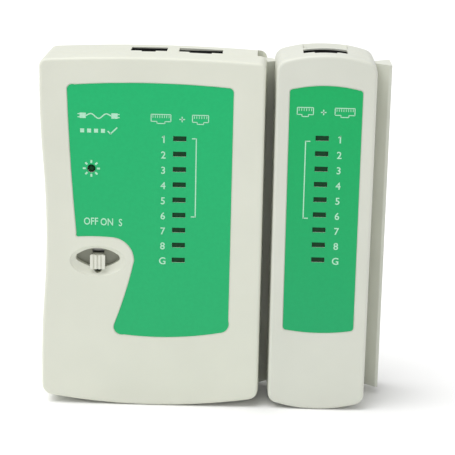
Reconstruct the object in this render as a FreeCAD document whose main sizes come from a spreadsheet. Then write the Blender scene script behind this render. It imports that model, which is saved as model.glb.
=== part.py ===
import FreeCAD, Part
import os
import Sketcher

# A network cable tester: a main unit with a battery, a slide switch and two modular sockets,
# and a remote unit whose dovetail rail slides into a groove on the main unit's right side.
# The pair stands upright on its rounded lower ends. X runs to the right, Y runs from the front
# face to the back, Z runs up to the socket end. Each unit is drawn from its own lower front
# left corner and then seated in the shared frame. All sizes are millimetres.

SIZES = {
    # main unit case
    "main_width": 62.0, "main_height": 100.15, "case_depth": 26.0, "wall": 2.0, "seam_depth": 11.5,
    "main_top_rise": 1.0, "main_bottom_rise": 2.8, "waist_depth": 1.58, "waist_centre": 51.5,
    "waist_half": 40.0, "foot_corner": 3.0, "main_corner": 2.1, "draft": 0.4,
    "edge_round": 0.95, "back_round": 2.0, "seam_round": 0.3,
    # remote unit case
    "remote_width": 28.1, "remote_height": 101.9, "remote_top_rise": 2.5, "remote_bottom_rise": 2.5,
    "remote_corner": 3.4, "unit_gap": 2.16,
    # dovetail dock
    "dock_centre": 18.8, "rail_out": 4.58, "rail_lip": 0.85, "rail_half": 5.2, "neck_half": 1.8,
    "rail_low": 2.4, "rail_high": 97.5, "dock_play": 0.3, "dock_wall": 2.0,
    # printed labels
    "label_thick": 0.2, "label_left": 7.45, "label_right": 53.2, "label_top": 93.3,
    "label_bottom": 20.4, "notch_top": 49.5, "notch_side": 26.0,
    "remote_label_side": 3.95, "remote_label_top": 93.7, "remote_label_bottom": 22.9,
    # indicator lamps
    "lamp_pitch": 4.317, "window_wide": 3.65, "window_tall": 1.4, "lamp_play": 0.08,
    "main_lamp_x": 38.5, "main_lamp_top": 77.95, "remote_lamp_x": 13.3, "remote_lamp_top": 79.05,
    "lamp_sunk": 0.45, "power_x": 14.24, "power_height": 69.05, "power_hole": 2.3,
    # slide switch
    "switch_x": 15.9, "switch_height": 42.6, "dish_wide": 15.6, "dish_tall": 8.8, "dish_deep": 1.8,
    "dish_float": 0.6, "dish_back": 3.0, "eye_wide": 12.3, "eye_up": 2.8, "eye_down": 2.9,
    "eye_height": 43.3, "tongue_low": 38.9, "tongue_half": 1.1,
    "knob_wide": 4.2, "knob_tall": 4.1, "knob_height": 42.2, "knob_thick": 0.75, "knob_sunk": 0.1,
    "switch_travel": 2.0,
    # circuit boards
    "main_board_front": 8.0, "main_board_thick": 1.6, "main_board_left": 9.2, "main_board_right": 51.0,
    "main_board_low": 34.5, "main_board_high": 96.0,
    "remote_board_front": 13.8, "remote_board_thick": 1.2, "remote_board_low": 34.0,
    "remote_board_high": 96.8,
    # modular sockets
    "wide_plug": 12.2, "wide_latch": 6.2, "wide_body": 15.0, "narrow_plug": 10.1, "narrow_latch": 3.9,
    "narrow_body": 12.2, "plug_thick": 6.7, "latch_thick": 1.5, "socket_long": 18.0, "plug_deep": 13.0,
    "wide_x": 43.4, "narrow_x": 28.95, "remote_port_x": 13.75, "socket_lip": 0.35,
    "hollow_wide": 12.6, "hollow_deep": 1.5, "hollow_front": 15.2, "hollow_long": 8.5,
    "hollow_ramp": 1.6,
    # battery and its compartment
    "battery_long": 46.0, "battery_tall": 26.5, "battery_thick": 17.5, "battery_left": 10.9,
    "battery_low": 5.2, "battery_front": 6.3, "stud_gap": 12.7,
    "cover_left": 5.0, "cover_right": 57.0, "cover_top": 33.2, "cover_play": 0.2, "tongue": 1.0,
    # case screws
    "boss_radius": 3.1, "screw_radius": 1.15, "head_radius": 2.4, "head_tall": 1.7,
    "head_seat": 20.0, "screw_long": 14.5,
}


class Dim:
    """A length that keeps its number together with the sheet expression that it comes from."""

    def __init__(self, number, text):
        self.number = number
        self.text = text

    def __add__(self, other):
        other = dim(other)
        return Dim(self.number + other.number, f"({self.text} + {other.text})")

    def __sub__(self, other):
        other = dim(other)
        return Dim(self.number - other.number, f"({self.text} - {other.text})")

    def __mul__(self, factor):
        return Dim(self.number * factor, f"({self.text} * {factor})")

    def __truediv__(self, factor):
        return Dim(self.number / factor, f"({self.text} / {factor})")

    def __radd__(self, other):
        return dim(other) + self

    def __rsub__(self, other):
        return dim(other) - self

    def __neg__(self):
        return self * -1.0


def dim(value):
    if isinstance(value, Dim):
        return value
    return Dim(float(value), f"({float(value)})")


class Sizes:
    """The driving dimensions by name, each bound to its cell in the sheet."""

    def __init__(self, sheet, table):
        for row, (name, number) in enumerate(table.items(), start=1):
            sheet.set(f"A{row}", name)
            sheet.set(f"B{row}", str(number))
            sheet.setAlias(f"B{row}", name)
            setattr(self, name, Dim(number, f"Dims.{name}"))


DOC = FreeCAD.newDocument("cable_tester")
D = Sizes(DOC.addObject("Spreadsheet::Sheet", "Dims"), SIZES)
DOC.recompute()
NODES = []

overall_width = D.main_width + D.unit_gap + D.remote_width + D.rail_out
MAIN = (-(overall_width / 2), -(D.case_depth / 2))
REMOTE = (D.main_width + D.unit_gap - overall_width / 2, -(D.case_depth / 2))


# ---------------------------------------------------------------- drawing helpers

def bind(item, prop, value):
    item.setExpression(prop, dim(value).text)


def node(item, name, unit):
    """Names a finished sub-part and seats it with its unit."""
    item.Label = name
    bind(item, "Placement.Base.x", unit[0])
    bind(item, "Placement.Base.y", unit[1])
    NODES.append(item)
    return item


def new_body(name, unit):
    return node(DOC.addObject("PartDesign::Body", name), name, unit)


def new_sketch(body, role, offset):
    """An empty sketch on one of the body's own origin planes, moved along the plane's normal."""
    plane = [item for item in body.Origin.OriginFeatures if item.Role == role][0]
    sketch = body.newObject("Sketcher::SketchObject", body.Name + "_sketch")
    sketch.AttachmentSupport = (plane, [""])
    sketch.MapMode = "FlatFace"
    bind(sketch, "AttachmentOffset.Base.z", offset)
    return sketch


def front_sketch(body, depth):
    """A sketch seen from the front, at a depth behind the front face."""
    return new_sketch(body, "XZ_Plane", -dim(depth))


def top_sketch(body, height):
    return new_sketch(body, "XY_Plane", height)


def fix_point(sketch, geometry, position, point):
    for kind, value in (("DistanceX", dim(point[0])), ("DistanceY", dim(point[1]))):
        rule = Sketcher.Constraint(kind, -1, 1, geometry, position, value.number)
        bind(sketch, f"Constraints[{sketch.addConstraint(rule)}]", value)


def flat(point):
    return FreeCAD.Vector(dim(point[0]).number, dim(point[1]).number, 0)


def draw_loop(sketch, *points):
    """A closed loop. A third item in a point is what an arc to the next point passes through."""
    edges = []
    for index, point in enumerate(points):
        start = flat(point)
        stop = flat(points[(index + 1) % len(points)])
        if len(point) == 3:
            middle = flat(point[2])
            edge = sketch.addGeometry(Part.Arc(start, middle, stop), False)
            helper = sketch.addGeometry(Part.Point(middle), True)
            fix_point(sketch, helper, 1, point[2])
            sketch.addConstraint(Sketcher.Constraint("PointOnObject", helper, 1, edge))
        else:
            edge = sketch.addGeometry(Part.LineSegment(start, stop), False)
        first = 1 if sketch.getPoint(edge, 1).distanceToPoint(start) < 1e-6 else 2
        edges.append((edge, first, 3 - first))
    for index, point in enumerate(points):
        edge, first = edges[index][:2]
        before, last = edges[index - 1][::2]
        fix_point(sketch, edge, first, point)
        sketch.addConstraint(Sketcher.Constraint("Coincident", before, last, edge, first))
    return sketch


def draw_box(sketch, left, right, low, high):
    return draw_loop(sketch, (left, low), (right, low), (right, high), (left, high))


def draw_stadium(sketch, x, z, wide, tall):
    """A slot with round ends, longer along the sketch's first axis."""
    x, z, half, radius = dim(x), dim(z), dim(wide) / 2, dim(tall) / 2
    straight = half - radius
    return draw_loop(sketch,
                     (x - straight, z - radius),
                     (x + straight, z - radius, (x + half, z)),
                     (x + straight, z + radius),
                     (x - straight, z + radius, (x - half, z)))


def draw_circle(sketch, x, z, radius):
    radius = dim(radius)
    circle = Part.Circle(flat((x, z)), FreeCAD.Vector(0, 0, 1), radius.number)
    edge = sketch.addGeometry(circle, False)
    fix_point(sketch, edge, 3, (x, z))
    rule = Sketcher.Constraint("Radius", edge, radius.number)
    bind(sketch, f"Constraints[{sketch.addConstraint(rule)}]", radius)
    return sketch


def volume(item):
    DOC.recompute()
    return item.Shape.Volume


def grow(body, sketch, length, backwards=True):
    """Adds material along the sketch's normal, or against it."""
    feature = body.newObject("PartDesign::Pad", body.Name + "_pad")
    feature.Profile = sketch
    feature.Reversed = backwards
    bind(feature, "Length", length)
    DOC.recompute()
    return feature


def cut(body, sketch, length, forwards=False):
    """Removes material and makes sure that it did. By default it cuts against the normal."""
    before = volume(body)
    feature = body.newObject("PartDesign::Pocket", body.Name + "_pocket")
    feature.Profile = sketch
    feature.Reversed = forwards
    bind(feature, "Length", length)
    if not volume(body) < before - 1e-6:
        raise RuntimeError(f"{feature.Name} cuts nothing: {feature.State}")
    return feature


def edges_where(shape, test):
    return [f"Edge{number}" for number, edge in enumerate(shape.Edges, start=1) if test(edge)]


def round_edges(body, test, radius):
    base = body.Tip
    feature = body.newObject("PartDesign::Fillet", body.Name + "_fillet")
    feature.Base = (base, edges_where(base.Shape, test))
    bind(feature, "Radius", radius)
    DOC.recompute()
    return feature


def lies_at(edge, axis, value, reach=1e-4):
    ends = [vertex.Point[axis] for vertex in edge.Vertexes]
    return all(abs(end - dim(value).number) < reach for end in ends)


def spans_depth(edge, least=1.0):
    first, last = edge.Vertexes[0].Point, edge.Vertexes[-1].Point
    return abs(first.y - last.y) > least


def block(name, low, high):
    """A box between two corners."""
    item = DOC.addObject("Part::Box", name)
    for axis, size, start, stop in zip("xyz", ("Length", "Width", "Height"), low, high):
        bind(item, size, dim(stop) - start)
        bind(item, f"Placement.Base.{axis}", start)
    return item


ALONG = {
    "x": FreeCAD.Rotation(FreeCAD.Vector(0, 1, 0), 90),
    "y": FreeCAD.Rotation(FreeCAD.Vector(1, 0, 0), -90),
    "z": FreeCAD.Rotation(),
}


def rod(name, start, radius, length, axis):
    """A cylinder from a start point along one axis."""
    item = DOC.addObject("Part::Cylinder", name)
    item.Placement = FreeCAD.Placement(FreeCAD.Vector(), ALONG[axis])
    for letter, value in zip("xyz", start):
        bind(item, f"Placement.Base.{letter}", value)
    bind(item, "Radius", radius)
    bind(item, "Height", length)
    return item


def fused(name, *items):
    item = DOC.addObject("Part::MultiFuse", name)
    item.Shapes = list(items)
    return item


def less(name, base, tool):
    item = DOC.addObject("Part::Cut", name)
    item.Base = base
    item.Tool = tool
    return item


def group(name, unit, items):
    """Several separate solids of one kind as a single named sub-part."""
    item = DOC.addObject("Part::Compound", name)
    item.Links = list(items)
    return node(item, name, unit)


# ---------------------------------------------------------------- case outlines

def main_outline(sketch, inset):
    """The main unit from the front: crowned ends, straight right side, waisted left side."""
    inset = dim(inset)
    right = D.main_width - inset
    middle = D.main_width / 2
    low = D.main_bottom_rise + inset
    high = D.main_height - D.main_top_rise - inset
    deep = D.waist_depth
    centre = D.waist_centre
    half = D.waist_half
    return draw_loop(
        sketch,
        (inset, low, (middle, inset)),
        (right, low),
        (right, high, (middle, D.main_height - inset)),
        (inset, high),
        (inset, centre + half, (inset + deep / 8, centre + half * 0.75)),
        (inset + deep / 2, centre + half / 2, (inset + deep, centre)),
        (inset + deep / 2, centre - half / 2, (inset + deep / 8, centre - half * 0.75)),
        (inset, centre - half))


def remote_outline(sketch, inset):
    inset = dim(inset)
    right = D.remote_width - inset
    middle = D.remote_width / 2
    low = D.remote_bottom_rise + inset
    high = D.remote_height - D.remote_top_rise - inset
    return draw_loop(
        sketch,
        (inset, low, (middle, inset)),
        (right, low),
        (right, high, (middle, D.remote_height - inset)),
        (inset, high))


def draw_in(body, side, outwards):
    """Slopes a straight long wall, so that it draws in from the seam to the front face."""
    wedge = top_sketch(body, D.main_height + 10)
    near, clear = side - D.draft * outwards, side + outwards
    draw_loop(wedge, (side, D.seam_depth), (near, dim(0)), (near, dim(-1)), (clear, dim(-1)),
              (clear, D.seam_depth))
    cut(body, wedge, D.main_height + 20)


def half_shell(name, unit, outline, corner, walls, front):
    """One half of a case: an open tray with rounded outer edges and a soft edge at the seam.

    The walls are its two long sides, each an X and which way its slope faces, if it has one.
    """
    body = new_body(name, unit)
    start = dim(0) if front else D.seam_depth
    stop = D.seam_depth if front else D.case_depth
    face = start if front else stop
    grow(body, outline(front_sketch(body, start), 0), stop - start)
    for side, outwards in walls:
        if front and outwards:
            draw_in(body, dim(side), outwards)
    reach = D.draft.number + 0.01

    def at_corner(edge, low, high):
        at_side = any(lies_at(edge, 0, side, reach) for side, outwards in walls)
        return spans_depth(edge) and at_side and low < edge.Vertexes[0].Z < high

    round_edges(body, lambda edge: at_corner(edge, 0, 10), D.foot_corner)
    round_edges(body, lambda edge: at_corner(edge, 95, 105), corner)
    round_edges(body, lambda edge: lies_at(edge, 1, face), D.edge_round if front else D.back_round)
    seam = stop if front else start
    round_edges(body, lambda edge: lies_at(edge, 1, seam), D.seam_round)
    inside = D.wall if front else D.seam_depth
    deep = D.seam_depth - D.wall if front else D.case_depth - D.wall - D.seam_depth
    cut(body, outline(front_sketch(body, inside), D.wall), deep)
    return body


MAIN_WALLS = ((0, 0), (D.main_width, 1))
REMOTE_WALLS = ((0, -1), (D.remote_width, 1))

# Screws come in from the back, through pillars in the rear half, into bosses in the front half.
MAIN_SCREWS = [(5.9, 91.0), (54.6, 91.0), (5.8, 58.0), (54.6, 37.4)]
REMOTE_SCREWS = [(D.remote_width / 2, 26.0), (5.6, 8.6), (22.5, 8.6)]


def add_bosses(body, places):
    for x, z in places:
        grow(body, draw_circle(front_sketch(body, D.wall - 0.2), x, z, D.boss_radius),
             D.seam_depth - D.wall + 0.2)
        pilot = draw_circle(front_sketch(body, D.wall + 1), x, z, D.screw_radius + 0.05)
        cut(body, pilot, D.seam_depth - D.wall - 1)


def add_pillars(body, places):
    for x, z in places:
        grow(body, draw_circle(front_sketch(body, D.seam_depth), x, z, D.boss_radius),
             D.case_depth - D.wall - D.seam_depth + 0.2)
        cut(body, draw_circle(front_sketch(body, D.seam_depth), x, z, D.screw_radius + 0.1),
            D.case_depth - D.seam_depth)
        cut(body, draw_circle(front_sketch(body, D.head_seat), x, z, D.head_radius + 0.15),
            D.case_depth - D.head_seat)


def cut_ports(body, ports, start, stop):
    """Openings in the top wall: the plug's own shape, and the socket's seat under a thin lip."""
    for port in ports:
        shapes = [(mouth, D.main_height + 10, dim(24)) for mouth in port.mouth()]
        shapes.append((port.seat(), port.top + 0.05, dim(8)))
        for (left, right, front, back), height, deep in shapes:
            if front.number < dim(stop).number and back.number > dim(start).number:
                cut(body, draw_box(top_sketch(body, height), left, right, front, back), deep)


class Port:
    """Where a modular socket sits: its plug opening, latch slot and body, seen from the top."""

    def __init__(self, name, unit, x, front_wall, mouth_front, back_wall, top, wide, latch, body):
        self.name = name
        self.unit = unit
        self.x = x
        self.front = mouth_front - front_wall
        self.latch_front = mouth_front
        self.plug_front = mouth_front + D.latch_thick
        self.plug_back = self.plug_front + D.plug_thick
        self.back = self.plug_back + back_wall
        self.top = top
        self.wide = wide
        self.latch = latch
        self.body = body

    def mouth(self):
        plug = (self.x - self.wide / 2, self.x + self.wide / 2, self.plug_front, self.plug_back)
        latch = (self.x - self.latch / 2, self.x + self.latch / 2, self.latch_front,
                 self.plug_front + 0.5)
        return plug, latch

    def seat(self):
        play = 0.1
        return (self.x - self.body / 2 - play, self.x + self.body / 2 + play,
                self.front - play, self.back + play)


# The crown of the case falls away from the middle, so the outer socket sits a little lower.
wide_port_top = D.main_height - D.socket_lip - 0.4
narrow_port_top = D.main_height - D.socket_lip - 0.05
remote_port_top = D.remote_height - D.socket_lip - 0.7
MAIN_PORTS = [
    Port("wide", MAIN, D.wide_x, 1.7, D.main_board_front + D.main_board_thick + 1.7, 1.0,
         wide_port_top, D.wide_plug, D.wide_latch, D.wide_body),
    Port("narrow", MAIN, D.narrow_x, 1.7, D.main_board_front + D.main_board_thick + 1.7, 1.0,
         narrow_port_top, D.narrow_plug, D.narrow_latch, D.narrow_body),
]
REMOTE_PORTS = [
    Port("wide", REMOTE, D.remote_port_x, 0.9, D.remote_board_front - 8.8, 0.6,
         remote_port_top, D.wide_plug, D.wide_latch, D.wide_body),
    Port("narrow", REMOTE, D.remote_port_x, 0.4, D.remote_board_front + D.remote_board_thick + 0.4, 0.4,
         D.remote_height - D.wall - 0.4, D.narrow_plug, D.narrow_latch, D.narrow_body),
]


def cut_lamp_windows(body, x, top):
    """Nine slots in a column, cut as one slot and a linear pattern down the front face."""
    sketch = front_sketch(body, 0)
    draw_box(sketch, x - D.window_wide / 2, x + D.window_wide / 2,
             top - D.window_tall / 2, top + D.window_tall / 2)
    slot = cut(body, sketch, D.wall + 1)
    pattern = body.newObject("PartDesign::LinearPattern", body.Name + "_pattern")
    pattern.Originals = [slot]
    pattern.Direction = (sketch, ["V_Axis"])
    pattern.Reversed = True
    bind(pattern, "Length", D.lamp_pitch * 8)
    pattern.Occurrences = 9
    body.Tip = pattern
    DOC.recompute()


# ---------------------------------------------------------------- main unit case

def main_label_outline(sketch, inset):
    """A rounded panel with a curved bite out of its lower left, round the switch."""
    i = dim(inset)
    left, right = D.label_left + i, D.label_right - i
    top, bottom = D.label_top - i, D.label_bottom + i
    notch, side = D.notch_top + i, D.notch_side + i
    return draw_loop(
        sketch,
        (left + 2.45, notch + 1.0, (left + 1.0, notch + 20)),
        (left, top - 2.7, (left + 0.45, top - 1.25)),
        (left + 2.2, top - 0.8, ((left + right) / 2, top)),
        (right - 1.7, top - 0.85, (right - 0.4, top - 1.35)),
        (right, top - 2.7),
        (right - 0.2, bottom + 5.5, (right - 0.75, bottom + 2.7)),
        (right - 2.8, bottom + 1.7, (right - 16.0, bottom + 0.15)),
        (side - 2.6, bottom + 0.55, (side - 4.8, bottom + 1.1)),
        (side - 5.5, bottom + 3.9, (side - 2.3, bottom + 13.5)),
        (side, bottom + 22.5, (side - 1.35, bottom + 26.5)),
        (side - 6.4, notch - 0.1, (side - 11.5, notch + 0.05)),
        (side - 15.2, notch - 0.1, (side - 16.0, notch + 0.15)))


def remote_label_outline(sketch, inset):
    i = dim(inset)
    left, right = D.remote_label_side + i, D.remote_width - D.remote_label_side - i
    top, bottom = D.remote_label_top - i, D.remote_label_bottom + i
    middle = D.remote_width / 2
    return draw_loop(
        sketch,
        (left, bottom + 1.9, (left + 0.25, bottom + 1.15)),
        (left + 0.9, bottom + 0.75, (middle, bottom)),
        (right - 0.9, bottom + 0.75, (right - 0.25, bottom + 1.15)),
        (right, bottom + 1.9),
        (right, top - 2.1, (right - 0.25, top - 1.45)),
        (right - 0.9, top - 1.1, (middle, top)),
        (left + 0.9, top - 1.1, (left + 0.25, top - 1.45)),
        (left, top - 2.1))


def cut_switch_dish(body):
    """A soft oval dish, and through its floor an eye-shaped opening with a tongue at its foot."""
    patch = draw_stadium(front_sketch(body, D.wall - 0.2), D.switch_x, D.switch_height,
                         D.dish_wide + 2.4, D.dish_tall + 2.2)
    grow(body, patch, D.dish_back - D.wall + 0.2)
    # the scoop is part of an ellipsoid whose centre floats in front of the face
    ahead = D.dish_float.number
    spread = (1.0 - (ahead / (ahead + D.dish_deep.number)) ** 2) ** 0.5
    scoop = body.newObject("PartDesign::SubtractiveEllipsoid", "switch_dish")
    scoop.Placement.Base = FreeCAD.Vector(0, -ahead, 0)
    bind(scoop, "Placement.Base.x", D.switch_x)
    bind(scoop, "Placement.Base.z", D.switch_height)
    bind(scoop, "Radius1", D.dish_tall / (2 * spread))
    bind(scoop, "Radius2", D.dish_wide / (2 * spread))
    bind(scoop, "Radius3", D.dish_deep + D.dish_float)
    DOC.recompute()
    x, z, half = D.switch_x, D.eye_height, D.eye_wide / 2
    eye = front_sketch(body, 0)
    end_in, end_up = 0.75, 1.15
    draw_loop(eye,
              (x - half + end_in, z + end_up, (x, z + D.eye_up)),
              (x + half - end_in, z + end_up, (x + half, z)),
              (x + half - end_in, z - end_up, (x, z - D.eye_down)),
              (x - half + end_in, z - end_up, (x - half, z)))
    cut(body, eye, D.dish_back)
    side, foot = D.tongue_half, D.tongue_low
    tongue = front_sketch(body, 0)
    draw_loop(tongue, (x - side, foot + side, (x, foot)), (x + side, foot + side), (x + side, z),
              (x - side, z))
    cut(body, tongue, D.dish_back)


def build_main_front():
    body = half_shell("main_front_shell", MAIN, main_outline, D.main_corner, MAIN_WALLS, True)
    cut(body, main_label_outline(front_sketch(body, 0), -0.05), D.label_thick)
    cut_switch_dish(body)
    cut_lamp_windows(body, D.main_lamp_x, D.main_lamp_top)
    cut(body, draw_circle(front_sketch(body, 0), D.power_x, D.power_height, D.power_hole / 2), 4)
    add_bosses(body, MAIN_SCREWS)
    # two short posts carry the circuit board
    for x, z in BOARD_SCREWS["main"]:
        grow(body, draw_circle(front_sketch(body, D.wall - 0.2), x, z, 2.4),
             D.main_board_front - D.wall + 0.2)
        cut(body, draw_circle(front_sketch(body, D.wall + 0.6), x, z, 1.05),
            D.main_board_front - D.wall - 0.6)
    # ribs that the battery leans on
    for x in (16.0, 31.0, 46.0):
        rib = front_sketch(body, D.wall - 0.2)
        draw_box(rib, x - 0.7, x + 0.7, D.battery_low + 1, D.battery_low + 24)
        grow(body, rib, D.battery_front - D.wall + 0.1)
    cut_ports(body, MAIN_PORTS, 0, D.seam_depth)
    return body


def dovetail(inner, lip, outer, half, neck):
    """The four corners on each side of a dovetail that widens outwards, seen from the top."""
    y = D.dock_centre
    return ((inner, y - neck), (lip, y - half), (outer, y - half),
            (outer, y + half), (lip, y + half), (inner, y + neck))


def build_main_rear():
    body = half_shell("main_rear_shell", MAIN, main_outline, D.main_corner, MAIN_WALLS, False)
    # the dock rail's channel: a solid strip along the right wall with a dovetail groove in it
    strip = front_sketch(body, D.seam_depth)
    strip_left = D.main_width - (D.rail_out - D.unit_gap) - D.dock_play - D.dock_wall
    draw_box(strip, strip_left, D.main_width - 1, 6, D.main_height - D.main_top_rise - 1.2)
    grow(body, strip, D.case_depth - D.wall - D.seam_depth + 0.2)
    groove = top_sketch(body, D.main_height + 5)
    floor_x = D.main_width - (D.rail_out - D.unit_gap) - D.dock_play
    lip_x = floor_x + D.rail_lip + D.dock_play + 0.12
    slope_run = D.main_width + 0.5 - lip_x
    draw_loop(groove, *dovetail(D.main_width + 0.5, lip_x, floor_x, D.rail_half + D.dock_play,
                                D.rail_half + D.dock_play - slope_run))
    cut(body, groove, D.main_height + 5 - D.rail_low + 0.1)
    add_pillars(body, MAIN_SCREWS)
    # battery compartment: a roof over the battery, then the opening and the tongue grooves
    roof = front_sketch(body, D.seam_depth)
    draw_box(roof, D.wall - 0.5, strip_left + 0.5, D.cover_top + 0.05, D.cover_top + 1.35)
    grow(body, roof, D.case_depth - D.wall - D.seam_depth + 0.2)
    opening = front_sketch(body, D.case_depth - D.wall - 0.1)
    play = D.cover_play
    draw_box(opening, D.cover_left - play, D.cover_right + play, -2, D.cover_top)
    cut(body, opening, D.wall + 1)
    tongues = front_sketch(body, D.case_depth - D.wall)
    reach = D.tongue + play
    draw_box(tongues, D.cover_left - reach, D.cover_right + reach, -2, D.cover_top)
    cut(body, tongues, 1.1)
    cut_ports(body, MAIN_PORTS, D.seam_depth, D.case_depth)
    return body


def build_battery_cover():
    body = new_body("battery_cover", MAIN)
    back = D.case_depth
    thick = D.wall
    low = 1.0
    panel = front_sketch(body, back - thick)
    corner_rise = 1.9
    draw_loop(panel,
              (D.cover_left, low + corner_rise, ((D.cover_left + D.cover_right) / 2, low)),
              (D.cover_right, low + corner_rise),
              (D.cover_right, D.cover_top - 0.2),
              (D.cover_left, D.cover_top - 0.2))
    grow(body, panel, thick)
    round_edges(body, lambda edge: lies_at(edge, 1, back) and all(v.Z < 5 for v in edge.Vertexes),
                thick - 0.1)
    tongues = front_sketch(body, back - thick + 0.1)
    draw_box(tongues, D.cover_left - D.tongue, D.cover_right + D.tongue, 5.5, D.cover_top - 2)
    grow(body, tongues, 0.9)
    # grip grooves across the lower middle
    rib = front_sketch(body, back)
    draw_stadium(rib, (D.cover_left + D.cover_right) / 2, 8.5, 17, 1.0)
    groove = cut(body, rib, 0.5, forwards=True)
    pattern = body.newObject("PartDesign::LinearPattern", "grip_grooves")
    pattern.Originals = [groove]
    pattern.Direction = (rib, ["V_Axis"])
    pattern.Length = 8
    pattern.Occurrences = 5
    body.Tip = pattern
    DOC.recompute()
    return body


# ---------------------------------------------------------------- remote unit case

def build_remote_front():
    body = half_shell("remote_front_shell", REMOTE, remote_outline, D.remote_corner, REMOTE_WALLS,
                      True)
    cut(body, remote_label_outline(front_sketch(body, 0), -0.05), D.label_thick)
    cut_lamp_windows(body, D.remote_lamp_x, D.remote_lamp_top)
    add_bosses(body, REMOTE_SCREWS)
    cut_ports(body, REMOTE_PORTS, 0, D.seam_depth)
    return body


def build_remote_rear():
    body = half_shell("remote_rear_shell", REMOTE, remote_outline, D.remote_corner, REMOTE_WALLS,
                      False)
    flank = D.rail_out - D.rail_lip
    long = D.rail_high - D.rail_low
    left = dovetail(dim(0.4), -flank, -D.rail_out, D.rail_half, D.neck_half)
    width = D.remote_width
    right = dovetail(width - 0.4, width + flank, width + D.rail_out, D.rail_half, D.neck_half)
    grow(body, draw_loop(top_sketch(body, D.rail_low), *left), long, backwards=False)
    grow(body, draw_loop(top_sketch(body, D.rail_low), *right), long, backwards=False)
    add_pillars(body, REMOTE_SCREWS)
    cut_ports(body, REMOTE_PORTS, D.seam_depth, D.case_depth)
    # a shallow hollow with a ramp at its back guides a plug into the rear socket
    hollow = new_sketch(body, "YZ_Plane", (D.remote_width + D.hollow_wide) / 2)
    near, far = D.hollow_front, D.hollow_front + D.hollow_long
    floor, above = D.remote_height - D.hollow_deep, D.remote_height + 3
    draw_loop(hollow, (near, floor), (far, floor), (far + D.hollow_ramp, D.remote_height),
              (far + D.hollow_ramp, above), (near, above))
    cut(body, hollow, D.hollow_wide)
    return body


# ---------------------------------------------------------------- labels and boards

def build_label(name, unit, outline, lamp_x, lamp_top):
    body = new_body(name, unit)
    grow(body, outline(front_sketch(body, 0), 0), D.label_thick)
    cut_lamp_windows(body, lamp_x, lamp_top)
    return body


BOARD_SCREWS = {"main": [(13.2, 88.5), (47.4, 37.8)], "remote": [(6.0, 40.0), (22.1, 40.0)]}


def build_main_board():
    body = new_body("main_circuit_board", MAIN)
    panel = front_sketch(body, D.main_board_front)
    draw_box(panel, D.main_board_left, D.main_board_right, D.main_board_low, D.main_board_high)
    grow(body, panel, D.main_board_thick)
    for x, z in BOARD_SCREWS["main"]:
        cut(body, draw_circle(front_sketch(body, D.main_board_front), x, z, 1.2), D.main_board_thick)
    return body


def build_remote_board():
    body = new_body("remote_circuit_board", REMOTE)
    panel = front_sketch(body, D.remote_board_front)
    draw_box(panel, 3.2, D.remote_width - 3.2, D.remote_board_low, D.remote_board_high)
    grow(body, panel, D.remote_board_thick)
    for x, z in BOARD_SCREWS["remote"]:
        cut(body, draw_circle(front_sketch(body, D.remote_board_front), x, z, 1.2),
            D.remote_board_thick)
    return body


# ---------------------------------------------------------------- lamps and switch

def build_lamps(name, unit, x, top, board_front):
    """Nine flat indicator lamps: a lens in its window, a wider base, and two legs to the board."""
    lamps = []
    lens_x = D.window_wide / 2 - D.lamp_play
    lens_z = D.window_tall / 2 - D.lamp_play
    base_front = D.wall + 0.6
    base_back = base_front + 4.6
    for number in range(9):
        z = top - D.lamp_pitch * number
        pieces = [block(f"{name}_lens", (x - lens_x, D.lamp_sunk, z - lens_z),
                        (x + lens_x, base_front, z + lens_z)),
                  block(f"{name}_base", (x - 2.5, base_front, z - 1.05), (x + 2.5, base_back, z + 1.05))]
        for side in (-1.27, 1.27):
            pieces.append(block(f"{name}_leg", (x + side - 0.25, base_back, z - 0.25),
                                (x + side + 0.25, board_front, z + 0.25)))
        lamps.append(fused(f"{name}_lamp", *pieces))
    return group(name, unit, lamps)


def build_power_lamp():
    """A round lamp turned about its own centre line, its dome just inside the hole."""
    body = new_body("power_lamp", MAIN)
    sketch = top_sketch(body, D.power_height)
    bind(sketch, "AttachmentOffset.Base.x", D.power_x)
    tip = dim(0.35)
    nose = D.power_hole / 2 - 0.1
    shoulder = D.wall + 0.3
    draw_loop(sketch,
              (0, tip, (nose * 0.7071, tip + nose * 0.2929)),
              (nose, tip + nose),
              (nose, shoulder),
              (1.5, shoulder),
              (1.5, D.main_board_front - 1.0),
              (1.9, D.main_board_front - 1.0),
              (1.9, D.main_board_front),
              (0, D.main_board_front))
    turn = body.newObject("PartDesign::Revolution", "power_lamp_turn")
    turn.Profile = sketch
    turn.ReferenceAxis = (sketch, ["V_Axis"])
    turn.Angle = 360
    DOC.recompute()
    return body


def build_switch_frame():
    """The slide switch's open metal can on the board, with a slot that the knob's stem runs in."""
    x = D.switch_x
    front = D.wall + 2.5
    back = D.main_board_front
    z = D.knob_height
    shell = block("can_shell", (x - 6.4, front, z - 3.2), (x + 6.4, back, z + 3.2))
    hollow = block("can_hollow", (x - 5.4, front - 1, z - 2.2), (x + 5.4, back - 0.6, z + 2.2))
    return node(less("switch_frame", shell, hollow), "switch_frame", MAIN)


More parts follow.
